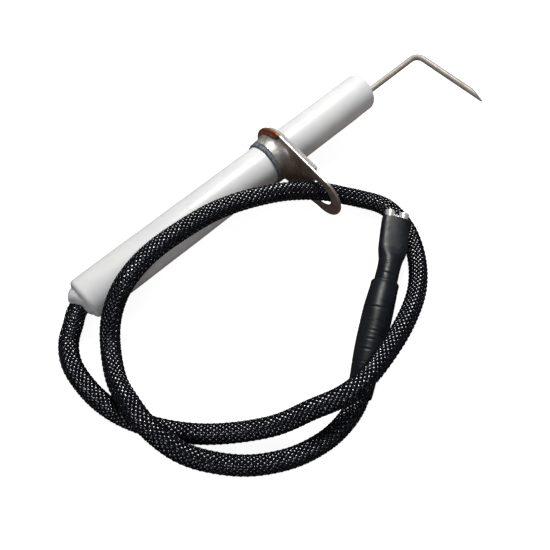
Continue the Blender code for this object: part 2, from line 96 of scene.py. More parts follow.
def wire_stations(node, near, sides=6):
    """Centres of a CAD wire's sections, in order, from the end that is nearest to a point."""
    body = bmesh.new()
    body.from_mesh(frame["nodes"][node].data)
    bmesh.ops.remove_doubles(body, verts=body.verts, dist=0.001 * MM)
    near = Vector(near)
    first = min(body.verts, key=lambda v: (v.co - near).length)
    front = sorted(body.verts, key=lambda v: (v.co - first.co).length)[:sides]
    seen = set(front)
    centres = []
    while front:
        centres.append(np.mean([v.co[:] for v in front], axis=0))
        reached = {e.other_vert(v) for v in front for e in v.link_edges}
        front = [v for v in reached if v not in seen]
        seen.update(front)
    body.free()
    return np.array(centres)


mounts = {m["name"]: m for m in frame["record"]["mounts"]}
joints = {j["name"]: j for j in frame["joints"]}

FRONT = unit(mounts["gasket_face"]["axis"])
TAB = np.array((0.0, -1.0, 0.0))
CROWN = np.cross(TAB, FRONT)

# FACE is where the electrode's axis meets the plate's front face. A reach is measured from it, along FRONT.
ring_centre = cad_points("collar_cement").mean(axis=0)
FACE = ring_centre + FRONT * ((np.array(mounts["eye_rim_front"]["pos_m"]) - ring_centre) @ FRONT)

insulator_reaches = (cad_points("insulator") - FACE) @ FRONT
NOSE, TAIL = insulator_reaches.max(), insulator_reaches.min()

# The terminal's hinge and the direction to its side.
LIFT = np.array(joints["terminal_lift"]["pos_m"])
SIDE = -unit(joints["terminal_lift"]["axis"])


def lead_line():
    """The lead's centre line through the CAD conductor's stations, bridging the slits at the hinges."""
    stations = None
    start = np.mean([np.array(corner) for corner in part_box("splice_barrel")], axis=0)
    for part in ("main", "mid", "tail", "end"):
        run = wire_stations("conductor_" + part, start)
        if stations is not None:
            hinge = (stations[-1] + run[0]) / 2
            run = np.vstack([stations[:-1], hinge, run[1:]])
        stations = run
        start = run[-1]
    return stations


def spline(points, step):
    """A natural cubic spline through points, sampled evenly by arc length."""
    samples_per_point = 40
    chord = np.r_[0.0, np.cumsum(np.linalg.norm(np.diff(points, axis=0), axis=1))]
    gap = np.diff(chord)
    count = len(points)
    matrix, right = np.zeros((count, count)), np.zeros((count, 3))
    matrix[0, 0] = matrix[-1, -1] = 1.0
    for i in range(1, count - 1):
        matrix[i, i - 1:i + 2] = gap[i - 1], 2 * (gap[i - 1] + gap[i]), gap[i]
        right[i] = 6 * ((points[i + 1] - points[i]) / gap[i] - (points[i] - points[i - 1]) / gap[i - 1])
    bend = np.linalg.solve(matrix, right)

    def at(t):
        i = np.clip(np.searchsorted(chord, t, side="right") - 1, 0, count - 2)
        h = gap[i][:, None]
        left = (chord[i + 1] - t)[:, None]
        passed = (t - chord[i])[:, None]
        curve = (bend[i] * left ** 3 + bend[i + 1] * passed ** 3) / (6 * h)
        curve += (points[i] / h - bend[i] * h / 6) * left
        return curve + (points[i + 1] / h - bend[i + 1] * h / 6) * passed

    fine = np.linspace(0.0, chord[-1], count * samples_per_point)
    length = np.r_[0.0, np.cumsum(np.linalg.norm(np.diff(at(fine), axis=0), axis=1))]
    even = np.arange(0.0, length[-1], step)
    return at(np.interp(even, length, fine))


def carried_frames(line, first_side):
    """Tangents of a line with two side directions that turn with it and never twist."""
    tangents = np.gradient(line, axis=0)
    tangents /= np.linalg.norm(tangents, axis=1)[:, None]
    sides = np.empty_like(line)
    side = first_side
    for i, tangent in enumerate(tangents):
        side = unit(side - tangent * (side @ tangent))
        sides[i] = side
    return tangents, sides, np.cross(tangents, sides)


# ---------------------------------------------------------------- mesh helpers

def finish_mesh(name, verts, faces, material, sharp=math.radians(40), recalc=True):
    """A smooth-shaded object from vertices and faces, with edges sharper than an angle kept."""
    mesh = bpy.data.meshes.new(name)
    mesh.from_pydata([tuple(v) for v in verts], [], [tuple(f) for f in faces])
    if recalc:
        body = bmesh.new()
        body.from_mesh(mesh)
        bmesh.ops.recalc_face_normals(body, faces=body.faces)
        body.to_mesh(mesh)
        body.free()
    mesh.shade_smooth()
    mesh.set_sharp_from_angle(angle=sharp)
    mesh.materials.append(material)
    return add_object(name, mesh)


def grid_faces(rows, columns, closed=True):
    """Quads between successive rows of points, each row closed on itself or open."""
    wide = columns if closed else columns - 1
    i, j = np.meshgrid(np.arange(rows - 1), np.arange(wide), indexing="ij")
    i, j = i.ravel(), j.ravel()
    k = (j + 1) % columns
    return np.stack([i * columns + j, i * columns + k, (i + 1) * columns + k, (i + 1) * columns + j], axis=1)


def electrode_point(radius, angle, reach):
    """Points about the electrode's axis: angle 0 at the crown and 90 degrees at the tab."""
    radius, angle, reach = np.broadcast_arrays(radius, angle, reach)
    out = np.cos(angle)[..., None] * CROWN + np.sin(angle)[..., None] * TAB
    return FACE + FRONT * reach[..., None] + out * radius[..., None]


def lathe(name, profile, material, steps, closed=True, relief=None):
    """Turns a profile of (radius, reach) about the electrode's axis; relief is added to the radius."""
    profile = np.array(profile, float)
    if closed:
        profile = np.vstack([profile, profile[:1]])
    angles = np.linspace(0.0, math.tau, steps, endpoint=False)
    radius = profile[:, :1] + np.zeros(steps)
    reach = profile[:, 1:] + np.zeros(steps)
    if relief:
        radius = radius + relief(profile[:, :1], angles[None, :], profile[:, 1:])
    points = electrode_point(radius, angles[None, :], reach).reshape(-1, 3)
    faces = grid_faces(len(profile), steps)
    if closed:
        top = (len(profile) - 1) * steps
        faces = np.where(faces >= top, faces - top, faces)
        points = points[:top]
    return finish_mesh(name, points, faces, material)


def arc(centre, radius, start, end, steps):
    """Points (radius, reach) on a circular arc in a profile, angles in degrees."""
    angles = np.radians(np.linspace(start, end, steps + 1))
    return [(centre[0] + radius * math.cos(a), centre[1] + radius * math.sin(a)) for a in angles]


def dense(profile, step):
    """A profile with extra points, so that relief has something to move."""
    result = [profile[0]]
    for a, b in zip(profile, profile[1:]):
        count = max(1, int(math.dist(a, b) / step))
        shares = [i / count for i in range(1, count + 1)]
        result += [(a[0] + (b[0] - a[0]) * share, a[1] + (b[1] - a[1]) * share) for share in shares]
    return result


def swept(name, line, radii, material, sides, first_side):
    """A round bar along a line, with a radius for each station and flat ends."""
    tangents, out, across = carried_frames(line, first_side)
    angles = np.linspace(0.0, math.tau, sides, endpoint=False)
    ring = np.cos(angles)[None, :, None] * out[:, None] + np.sin(angles)[None, :, None] * across[:, None]
    points = line[:, None] + ring * np.asarray(radii, float).reshape(-1, 1, 1)
    verts = points.reshape(-1, 3)
    faces = [tuple(f) for f in grid_faces(len(line), sides)]
    faces.append(tuple(range(sides)))
    faces.append(tuple(range(len(verts) - sides, len(verts))))
    return finish_mesh(name, verts, faces, material)


def flip_outward(piece, outside):
    """Turns an open sheet's faces towards a point outside it."""
    mesh = piece.data
    vote = sum((Vector(outside) - face.center).dot(face.normal) for face in mesh.polygons)
    if vote < 0:
        mesh.flip_normals()


def place_piece(piece, node, body):
    """Puts a piece on a body, in place of the CAD node whose slot it takes."""
    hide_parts(node)
    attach(piece, body)


# ---------------------------------------------------------------- material helpers

# The mix node has sockets of the same name for each data type, so its colour sockets are taken by number.
COLOUR_A, COLOUR_B, COLOUR_RESULT = 6, 7, 2


class Looks:
    """A node material built step by step around one Principled BSDF.

    The colour, roughness and metallic value given first hold until a node takes their place.
    """

    def __init__(self, name, colour, roughness, metallic=0.0):
        self.material = bpy.data.materials.new(name)
        self.material.use_nodes = True
        self.nodes = self.material.node_tree.nodes
        self.links = self.material.node_tree.links
        self.shader = self.nodes["Principled BSDF"]
        self.set(**{"Base Color": (*colour, 1.0), "Roughness": roughness, "Metallic": metallic})
        self.place = self.nodes.new("ShaderNodeTexCoord").outputs["Object"]
        self.height = None

    def set(self, **values):
        """Sets or links the shader's inputs by name."""
        for socket, value in values.items():
            self.feed(self.shader.inputs[socket], value)

    def feed(self, socket, value):
        """Links a socket to another, or gives it a number or a colour."""
        if isinstance(value, bpy.types.NodeSocket):
            self.links.new(value, socket)
        elif isinstance(value, tuple) and len(value) == 3:
            socket.default_value = (*value, 1.0)
        else:
            socket.default_value = value

    def noise(self, size, detail=3.0, roughness=0.55):
        """A noise field with features of about the given size in metres."""
        node = self.nodes.new("ShaderNodeTexNoise")
        node.inputs["Scale"].default_value = 1.0 / size
        node.inputs["Detail"].default_value = detail
        node.inputs["Roughness"].default_value = roughness
        self.links.new(self.place, node.inputs["Vector"])
        return node.outputs["Fac"]

    def attribute(self, name):
        """A value that the mesh holds at each vertex."""
        node = self.nodes.new("ShaderNodeAttribute")
        node.attribute_name = name
        return node.outputs["Fac"]

    def facing(self):
        """0 where the surface faces the viewer and 1 where it is seen along its edge."""
        return self.nodes.new("ShaderNodeLayerWeight").outputs["Facing"]

    def ramp(self, value, low, high, start=0.0, end=1.0):
        """Maps a range onto another, clamped."""
        node = self.nodes.new("ShaderNodeMapRange")
        for socket, number in zip(("From Min", "From Max", "To Min", "To Max"), (low, high, start, end)):
            node.inputs[socket].default_value = number
        self.links.new(value, node.inputs["Value"])
        return node.outputs["Result"]

    def mottle(self, size, detail, low, high, start=0.0, end=1.0):
        """Noise of a size with a range of its values mapped onto another."""
        return self.ramp(self.noise(size, detail), low, high, start, end)

    def mix(self, factor, first, second):
        """Two colours mixed by a factor."""
        node = self.nodes.new("ShaderNodeMix")
        node.data_type = "RGBA"
        self.feed(node.inputs["Factor"], factor)
        self.feed(node.inputs[COLOUR_A], first)
        self.feed(node.inputs[COLOUR_B], second)
        return node.outputs[COLOUR_RESULT]

    def math(self, operation, first, second=0.0):
        """One arithmetic step on values."""
        node = self.nodes.new("ShaderNodeMath")
        node.operation = operation
        self.feed(node.inputs[0], first)
        self.feed(node.inputs[1], second)
        return node.outputs[0]

    def bump(self, value, distance, strength=1.0):
        """Adds fine relief, measured in metres."""
        node = self.nodes.new("ShaderNodeBump")
        node.inputs["Strength"].default_value = strength
        node.inputs["Distance"].default_value = distance
        self.links.new(value, node.inputs["Height"])
        if self.height:
            self.links.new(self.height, node.inputs["Normal"])
        self.height = node.outputs["Normal"]
        self.links.new(self.height, self.shader.inputs["Normal"])
        return self


def glazed_alumina():
    """White glaze: a faint cloudiness, a few fine specks and a soft shine under a thin coat."""
    looks = Looks("glazed_alumina", (0.86, 0.86, 0.85), 0.22)
    cloud = looks.mottle(9 * MM, 4, 0.35, 0.7)
    tone = looks.mix(cloud, (0.77, 0.78, 0.80), (0.85, 0.85, 0.85))
    speck = looks.mottle(0.5 * MM, 2, 0.76, 0.80)
    tone = looks.mix(looks.math("MULTIPLY", speck, 0.35), tone, (0.45, 0.40, 0.34))
    looks.set(**{"Base Color": tone, "Roughness": looks.mottle(3 * MM, 3, 0.3, 0.7, 0.30, 0.44)})
    looks.set(**{"Coat Weight": 0.12, "Coat Roughness": 0.08, "Subsurface Weight": 0.04})
    looks.shader.inputs["Subsurface Radius"].default_value = (MM, MM, MM)
    return looks.bump(looks.noise(1.5 * MM, 3), 0.02 * MM, 0.4).material


def cement(name, dark, light, grain):
    """Dull cement of two tones, with darker pits of the size of its grain."""
    looks = Looks(name, light, 0.85)
    tone = looks.mix(looks.mottle(grain * 3, 4, 0.35, 0.65), dark, light)
    pit_tone = tuple(channel * 0.45 for channel in dark)
    pits = looks.mottle(grain, 2, 0.60, 0.72)
    looks.set(**{"Base Color": looks.mix(pits, tone, pit_tone)})
    return looks.bump(looks.noise(grain, 5, 0.7), 0.12 * MM).material


def drawn_steel():
    """Drawn steel: bare, or brown where painted shade and a painted reflection of a brown table fall, with a
    painted orange reflection on the lip inside a painted dark line.
    """
    looks = Looks("drawn_steel", (0.5, 0.48, 0.46), 0.25, 1.0)
    painted_shade, painted_lip_reflection = looks.attribute("painted_shade"), looks.attribute("painted_lip_reflection")
    bare = looks.mix(looks.mottle(2.5 * MM, 3, 0.35, 0.65), (0.44, 0.44, 0.42), (0.78, 0.77, 0.75))
    # Painted shade and painted reflection: this brown stands for shade and for a brown table mirrored in the
    # steel.
    brown = looks.mix(looks.mottle(3 * MM, 2, 0.4, 0.6), (0.37, 0.25, 0.215), (0.42, 0.345, 0.29))
    # Painted reflection: the orange of a brown table mirrored on the far lip.
    lip_reflection_tone = looks.mix(looks.mottle(1.6 * MM, 3, 0.4, 0.6), (0.20, 0.055, 0.028), (0.38, 0.12, 0.05))
    tone = looks.mix(painted_shade, bare, brown)
    # Painted shade: a dark line along the inner edge of the lip's painted reflection.
    tone = looks.mix(looks.ramp(painted_lip_reflection, 0.02, 0.25), tone, (0.05, 0.04, 0.034))
    tone = looks.mix(looks.ramp(painted_lip_reflection, 0.30, 0.60), tone, lip_reflection_tone)
    scale = looks.ramp(looks.noise(0.7 * MM, 4, 0.7), 0.55, 0.75)
    tone = looks.mix(looks.math("MULTIPLY", scale, 0.5), tone, (0.12, 0.10, 0.09))
    # Less metallic where shade and reflections are painted.
    metal = looks.math("MULTIPLY", looks.ramp(painted_lip_reflection, 0.2, 0.6, 0.85, 0.3), looks.ramp(painted_shade, 0, 1, 1.0, 0.8))
    looks.set(**{"Base Color": tone, "Metallic": metal})
    looks.set(**{"Roughness": looks.mottle(1.2 * MM, 4, 0.3, 0.7, 0.34, 0.54)})
    looks.bump(looks.noise(2.5 * MM, 3), 0.09 * MM, 0.6)
    return looks.bump(looks.noise(0.3 * MM, 2), 0.008 * MM, 0.5).material


def electrode_wire():
    """Dull heat-resistant wire, pinker towards the end that stands in the flame."""
    looks = Looks("electrode_wire", (0.42, 0.39, 0.32), 0.35, 0.40)
    tone = looks.mix(looks.mottle(3 * MM, 3, 0.3, 0.7), (0.37, 0.35, 0.31), (0.50, 0.475, 0.42))
    tone = looks.mix(looks.attribute("heat"), tone, (0.60, 0.49, 0.44))
    looks.set(**{"Base Color": tone, "Roughness": looks.mottle(0.6 * MM, 3, 0.3, 0.7, 0.42, 0.60)})
    return looks.bump(looks.noise(0.25 * MM, 3), 0.012 * MM, 0.6).material


def pressed_fibre():
    """Grey pressed fibre."""
    looks = Looks("pressed_fibre", (0.42, 0.41, 0.40), 0.9)
    tone = looks.mix(looks.mottle(0.6 * MM, 5, 0.3, 0.7), (0.30, 0.29, 0.28), (0.55, 0.54, 0.52))
    looks.set(**{"Base Color": tone})
    return looks.bump(looks.noise(0.35 * MM, 4), 0.06 * MM).material


def braid_yarn():
    """Black yarn: fine lines for its filaments, a tone for each strand and a patchy shine on its ridges."""
    looks = Looks("braid_yarn", (0.01, 0.011, 0.014), 0.3)
    filament_turn = 22.0
    lines = looks.math("SINE", looks.math("MULTIPLY", looks.attribute("across"), filament_turn))
    tone = looks.mix(looks.attribute("tone"), (0.001, 0.0015, 0.0030), (0.003, 0.004, 0.010))
    patch = looks.mottle(1.6 * MM, 2, 0.38, 0.62, 0.42, 1.0)
    ridge = looks.ramp(looks.facing(), 0.16, 0.56, 1.0, 0.05)
    shine = looks.math("MULTIPLY", patch, ridge)
    looks.set(**{"Base Color": tone, "Specular IOR Level": shine, "IOR": 1.7})
    looks.set(**{"Roughness": looks.mottle(0.8 * MM, 2, 0.35, 0.65, 0.15, 0.25)})
    return looks.bump(lines, 0.012 * MM, 0.2).material


def shrink_tube(name):
    """Black shrink tube, satin, with grey rubbed spots."""
    looks = Looks(name, (0.04, 0.042, 0.047), 0.42)
    tone = looks.mix(looks.mottle(4 * MM, 4, 0.3, 0.7), (0.006, 0.008, 0.012), (0.012, 0.015, 0.020))
    rub = looks.ramp(looks.noise(0.8 * MM, 4, 0.7), 0.62, 0.78)
    tone = looks.mix(looks.math("MULTIPLY", rub, 0.35), tone, (0.07, 0.07, 0.075))
    looks.set(**{"Base Color": tone, "Roughness": looks.mottle(1.5 * MM, 3, 0.3, 0.7, 0.31, 0.43)})
    looks.set(**{"Specular IOR Level": 0.29})
    looks.bump(looks.noise(1.1 * MM, 3), 0.03 * MM, 0.6)
    return looks.bump(looks.noise(0.15 * MM, 2), 0.006 * MM).material


def tinned_sheet():
    """Bright tinned sheet."""
    looks = Looks("tinned_sheet", (0.80, 0.79, 0.76), 0.2, 0.45)
    tone = looks.mix(looks.mottle(1.5 * MM, 3, 0.35, 0.65), (0.66, 0.66, 0.64), (0.84, 0.83, 0.81))
    looks.set(**{"Base Color": tone, "Roughness": looks.mottle(0.5 * MM, 3, 0.3, 0.7, 0.20, 0.38)})
    return looks.bump(looks.noise(0.6 * MM, 3), 0.015 * MM, 0.5).material


def hidden_looks(name, dark, light, roughness, metallic, size):
    """Two tones in patches of a size, for a piece that no view shows."""
    looks = Looks(name, light, roughness, metallic)
    looks.set(**{"Base Color": looks.mix(looks.mottle(size, 3, 0.3, 0.7), dark, light)})
    return looks.bump(looks.noise(size / 2, 3), 0.03 * MM, 0.6).material


# ---------------------------------------------------------------- insulator and cements

def build_insulator():
    """Glazed tube: a soft round at both ends, the rod's pocket in front and the cement's pocket behind."""
    rear_radius, front_radius, step_reach = 7.1 * MM, 6.9 * MM, -3.5 * MM
    rear_round, front_round, mouth_round = 1.5 * MM, 1.6 * MM, 0.3 * MM
    pocket, pocket_depth, pocket_round = 3.9 * MM, 3 * MM, 0.25 * MM
    pot, pot_depth, bore = 5.7 * MM, 30 * MM, 3.4 * MM
    outside = 6 * MM
    outline = arc((front_radius - front_round, NOSE - front_round), front_round, 90, 0, 10)
    outline += [(front_radius, step_reach), (rear_radius, step_reach - 0.3 * MM)]
    outline += arc((rear_radius - rear_round, TAIL + rear_round), rear_round, 0, -90, 10)
    outline += arc((pot + mouth_round, TAIL + mouth_round), mouth_round, 270, 180, 4)
    outline += [(pot, TAIL + pot_depth), (bore, TAIL + pot_depth), (bore, NOSE - pocket_depth)]
    outline += [(pocket, NOSE - pocket_depth)]
    outline += arc((pocket + pocket_round, NOSE - pocket_round), pocket_round, 180, 90, 4)

    def unevenness(radius, angle, reach):
        wave = 0.03 * MM * np.sin(2 * angle + reach * 40) + 0.02 * MM * np.sin(reach * 260)
        return np.where(radius > outside, wave, 0.0)

    piece = lathe("insulator_glazed", dense(outline, 4 * MM), glazed_alumina(), steps=128, relief=unevenness)
    place_piece(piece, "insulator", "electrode")


def ripple(size, height, seed):
    """Relief for poured cement."""
    def relief(radius, angle, reach):
        angle, reach, radius = np.broadcast_arrays(angle, reach, radius)
        places = electrode_point(radius, angle, reach).reshape(-1, 3) / size + seed
        values = np.array([noise.fractal(Vector(p), 0.6, 2.0, 4) for p in places])
        return values.reshape(angle.shape) * height
    return relief


def build_collar_ring():
    """Poured cement between the collar's rim and the insulator; its dark tone is partly cement and partly painted
    shade under the collar's rim.
    """
    inner, outer, rim = 7.12 * MM, 7.95 * MM, -5.92 * MM
    corner, depth = 0.55 * MM, 1.5 * MM
    outline = [(inner, rim), (outer, rim)]
    outline += arc((outer - corner, rim - 0.85 * MM), corner, 0, -75, 6)
    outline += [(inner + 0.1 * MM, rim - depth), (inner, rim - depth + 0.05 * MM)]
    # Partly painted shade: the cement's dark tone also stands for the shade in the corner under the collar's rim.
    grey = cement("grey_cement_and_shade", (0.07, 0.08, 0.095), (0.20, 0.22, 0.25), 0.4 * MM)
    poured = ripple(size=1.1 * MM, height=0.16 * MM, seed=3.0)
    piece = lathe("collar_cement_bead", dense(outline, 0.25 * MM), grey, steps=160, relief=poured)
    place_piece(piece, "collar_cement", "electrode")


def build_front_bead():
    """Smooth low dome of cement round the rod, an open sheet that ends inside the insulator's pocket."""
    radius = 3.78 * MM
    outline = [(0.01 * MM, NOSE + 0.30 * MM), (1.8 * MM, NOSE + 0.28 * MM), (2.8 * MM, NOSE + 0.15 * MM)]
    outline += [(3.5 * MM, NOSE - 0.10 * MM), (radius, NOSE - 0.4 * MM), (radius, NOSE - 2.5 * MM)]
    buff = cement("buff_cement", (0.50, 0.47, 0.42), (0.74, 0.72, 0.68), 0.3 * MM)
    piece = lathe("front_cement_bead", dense(outline, 0.25 * MM), buff, steps=72, closed=False)
    flip_outward(piece, FACE + FRONT * (NOSE + 5 * MM))
    place_piece(piece, "front_cement", "electrode")


def build_rear_cap(line):
    """Hand-filled cement cap: a chipped dome with a lump at one side, where the lead leaves."""
    rings, steps, radius = 34, 112, 5.62 * MM
    dome_height, lump_height, lump_angle = 1.7 * MM, 1.9 * MM, math.radians(-40)
    spread, angles = np.meshgrid(
        np.linspace(0.0, 1.0, rings),
        np.linspace(0.0, math.tau, steps, endpoint=False),
        indexing="ij",
    )
    lump = np.clip(np.cos(angles - lump_angle), 0, 1) ** 1.5 * np.sin(spread * math.pi) ** 0.7
    height = (1.0 - spread ** 3) * dome_height + lump * lump_height
    base = electrode_point(spread * radius, angles, TAIL + 0.1 * MM)
    places = base.reshape(-1, 3)
    rough = np.array([noise.fractal(Vector(p / (2.2 * MM)), 0.7, 2.0, 4) for p in places])
    chips = np.array([noise.voronoi(Vector(p / (2.6 * MM)))[0][0] for p in places])
    wobble = (rough * 0.15 * MM + chips * 0.30 * MM).reshape(spread.shape)
    height += wobble * np.sin(np.clip(spread * 1.02, 0, 1) * math.pi * 0.5 + 0.5)
    height *= np.clip((1.0 - spread) * 9.0, 0, 1) ** 0.5
    top = base - FRONT * height[..., None]
    rim = electrode_point(radius, angles[0], TAIL + 2.5 * MM)
    points = np.vstack([top.reshape(-1, 3), rim])
    white = cement("white_cement", (0.56, 0.57, 0.60), (0.76, 0.76, 0.76), 0.9 * MM)
    piece = finish_mesh("rear_cement_cap", points, grid_faces(rings + 1, steps), white, recalc=False)
    lead_outside = line[(line - FACE) @ FRONT < TAIL + 1.0 * MM]
    flip_outward(piece, lead_outside[0])
    place_piece(piece, "rear_cement", "electrode")


# ---------------------------------------------------------------- rod

ROD_RADIUS = 1.1 * MM
ROD_BEND = 3.5 * MM            # radius of the bend's centre line
ROD_CORNER = 70.0 * MM         # reach of the corner that the two straight runs would make
ROD_TURN = math.radians(86.0)


def rod_offset():
    """How far towards the tab the rod lies from the axis, read from the barrel that holds its tail."""
    barrel = cad_points("splice_barrel").mean(axis=0)
    return (barrel - FACE) @ TAB


def rod_line(entry, second, leg):
    """Stations of the rod: straight out of the insulator, round the bend, then along a second direction."""
    inside, gap = 6 * MM, 0.4 * MM
    setback = ROD_BEND * math.tan(ROD_TURN / 2)
    start = entry + FRONT * (NOSE - inside)
    bend_start = entry + FRONT * (ROD_CORNER - setback)
    centre = bend_start + TAB * ROD_BEND
    straight = [start + (bend_start - start) * t for t in np.linspace(0, 1, 30, endpoint=False)]
    turns = np.linspace(0, ROD_TURN, 24)
    bend = [centre + (FRONT * math.sin(a) - TAB * math.cos(a)) * ROD_BEND for a in turns]
    corner = entry + FRONT * ROD_CORNER
    rest = [corner + second * s for s in np.linspace(setback + gap, leg, 110)]
    return np.array(straight + bend + rest)


def grind_tip(mesh, corner, second, leg):
    """Grinds a flat on the rod's upper side, down to its tip, and marks the heat on its vertices."""
    flat, depth, reach = 6.2 * MM, 1.75 * ROD_RADIUS, 8 * MM
    heat_start, heat_reach = 17 * MM, 14 * MM
    side = unit(CROWN * 0.75 - np.cross(second, CROWN) * 0.66)
    slope = math.atan2(depth, flat)
    normal = unit(side * math.cos(slope) + second * math.sin(slope))
    edge = corner + second * (leg - flat) + side * ROD_RADIUS
    heat = mesh.attributes.new("heat", "FLOAT", "POINT")
    for vertex in mesh.vertices:
        place = np.array(vertex.co)
        along = (place - corner) @ second
        heat.data[vertex.index].value = clamp((along - heat_start) / heat_reach)
        over = (place - edge) @ normal
        if over > 0 and along > leg - reach:
            vertex.co = place - normal * over


def build_rod():
    """Round rod with one bend, ground on its upper front side to a chisel point."""
    leg = 31.2 * MM
    tip_taper = (0.97, 0.9, 0.78, 0.6)
    entry = FACE + TAB * rod_offset()
    second = FRONT * math.cos(ROD_TURN) + TAB * math.sin(ROD_TURN)
    line = rod_line(entry, second, leg)
    radii = np.full(len(line), ROD_RADIUS)
    radii[-len(tip_taper):] *= tip_taper
    piece = swept("electrode_rod_wire", line, radii, electrode_wire(), sides=40, first_side=CROWN)
    grind_tip(piece.data, entry + FRONT * ROD_CORNER, second, leg)
    piece.data.set_sharp_from_angle(angle=math.radians(35))
    place_piece(piece, "electrode_rod", "electrode")


# ---------------------------------------------------------------- flange and gasket

def tab_outline(disc, end, reach, cut=None):
    """Closed outline of a teardrop as (across, towards the tab) pairs, or of the part of it before a cut."""
    disc_steps, end_steps = 72, 48
    lean = math.asin((disc - end) / reach)
    wide = np.linspace(lean, -math.pi - lean, disc_steps)
    outline = [(disc * math.cos(a), disc * math.sin(a)) for a in wide]
    if cut is None:
        narrow = np.linspace(math.pi + lean, -lean, end_steps)
        outline += [(end * math.cos(a), reach + end * math.sin(a)) for a in narrow]
        return outline
    half = disc / math.cos(lean) - cut * math.tan(lean)
    return outline + [(-half, cut), (half, cut)]


def plate(name, outlines, thickness, bevel, reach, material):
    """A flat piece across the axis, with rounded edges, whose front face is at a reach."""
    curve = bpy.data.curves.new(name, "CURVE")
    curve.dimensions = "2D"
    curve.fill_mode = "BOTH"
    curve.extrude = thickness / 2 - bevel
    curve.bevel_depth = bevel
    curve.bevel_resolution = 3
    curve.offset = -bevel
    for outline in outlines:
        spline_points = curve.splines.new("POLY")
        spline_points.points.add(len(outline) - 1)
        spline_points.use_cyclic_u = True
        for point, (x, y) in zip(spline_points.points, outline):
            point.co = (x, y, 0.0, 1.0)
    source = add_object(name + "_curve", curve)
    bpy.context.view_layer.update()
    evaluated = source.evaluated_get(bpy.context.evaluated_depsgraph_get())
    mesh = bpy.data.meshes.new_from_object(evaluated)
    bpy.data.objects.remove(source)
    body = bmesh.new()
    body.from_mesh(mesh)
    bmesh.ops.remove_doubles(body, verts=body.verts, dist=0.002 * MM)
    bmesh.ops.recalc_face_normals(body, faces=body.faces)
    body.to_mesh(mesh)
    body.free()
    turn = np.column_stack([CROWN, TAB, FRONT])
    if np.linalg.det(turn) < 0:
        turn[:, 0] *= -1
    place = Matrix(turn.tolist()).to_4x4()
    place.translation = Vector(FACE + FRONT * (reach - thickness / 2))
    mesh.transform(place)
    mesh.shade_smooth()
    mesh.set_sharp_from_angle(angle=math.radians(35))
    mesh.materials.clear()
    mesh.materials.append(material)
    return add_object(name, mesh)


def circle(radius, centre=0.0, steps=64):
    """A round hole's outline, with its centre on the way to the tab."""
    angles = np.linspace(0.0, math.tau, steps, endpoint=False)
    return [(radius * math.cos(a), centre + radius * math.sin(a)) for a in angles]


def paint_steel(piece):
    """Marks painted shade on the collar's tab side and lower side and on the plate's edge, a painted brown
    reflection on rear faces, and a painted orange reflection on the far lip.
    """
    collar_front, edge_radius, edge_painted_shade, rear_painted_reflection = -1.1 * MM, 9.9 * MM, 0.55, 0.85
    mesh = piece.data
    painted_shade = mesh.attributes.new("painted_shade", "FLOAT", "POINT")
    painted_lip_reflection = mesh.attributes.new("painted_lip_reflection", "FLOAT", "POINT")
    for vertex in mesh.vertices:
        place = np.array(vertex.co) - FACE
        tab, radius = place @ TAB, math.hypot(place @ TAB, place @ CROWN)
        forward, lift = vertex.normal.dot(Vector(FRONT)), vertex.normal.dot(Vector(CROWN))
        # Painted reflection: faces turned to the rear are marked brown, as a mirrored brown table.
        rear = rear_painted_reflection * max(0.0, -forward)
        # Painted shade: the collar darkens towards the tab and where it faces down; the plate's edge is darkened
        # where its highlight falls.
        if place @ FRONT < collar_front:
            shade = 0.5 + 0.5 * math.tanh((tab / MM - 1.5 - 6.0 * lift) / 3.0)
        else:
            shade = edge_painted_shade if radius > edge_radius and abs(forward) < 0.8 else 0.0
        painted_shade.data[vertex.index].value = max(shade, rear)
        # Painted reflection: orange on the lip away from the tab.
        outward = clamp((radius - 8.55 * MM) / (0.9 * MM))
        painted_lip_reflection.data[vertex.index].value = outward * clamp((0.8 * MM - tab) / (2.5 * MM))


def build_plate(steel, reach):
    """Stamped teardrop plate with a hole for the insulator and a large eye."""
    eye, eye_reach, thickness, bevel = 5.2 * MM, 21.0 * MM, 1.0 * MM, 0.28 * MM
    outlines = [tab_outline(10.4 * MM, 8.2 * MM, reach), circle(7.5 * MM), circle(eye, eye_reach)]
    return plate("flange_plate", outlines, thickness, bevel, 0.0, steel)


def build_collar(steel):
    """Collar drawn out of the plate: a quarter-round flare that is wider towards the tab, and a lip."""
    inner, outer, rim = 7.35 * MM, 8.1 * MM, -5.9 * MM
    top, back, wide = -4.9 * MM, -0.96 * MM, 10.1 * MM
    front, lip_round, bulge = -0.4 * MM, 0.22 * MM, 1.6 * MM
    sweep = np.radians(np.linspace(0, 90, 22))
    flare = [(wide - (wide - outer) * math.sin(a), back + (top - back) * (1 - math.cos(a))) for a in sweep]
    lip = arc((outer - lip_round, rim + lip_round), lip_round, 0, -90, 5)
    outline = [(inner, front), (wide - 0.4 * MM, front)] + flare + lip + [(inner, rim)]

    def drawn(radius, angle, reach):
        wave = 0.05 * MM * np.sin(3 * angle + 1.0) + 0.05 * MM * np.sin(7 * angle + reach * 900)
        near = np.clip((reach - top) / (back - top), 0.0, 1.0) ** 2
        spread = bulge * near * np.clip(np.sin(angle), 0.0, 1.0) ** 3
        outside = radius > inner + 0.5 * MM
        return np.where(outside & (reach < -1.6 * MM), wave, 0.0) + np.where(outside, spread, 0.0)

    return lathe("flange_collar", dense(outline, 0.7 * MM), steel, steps=144, relief=drawn)


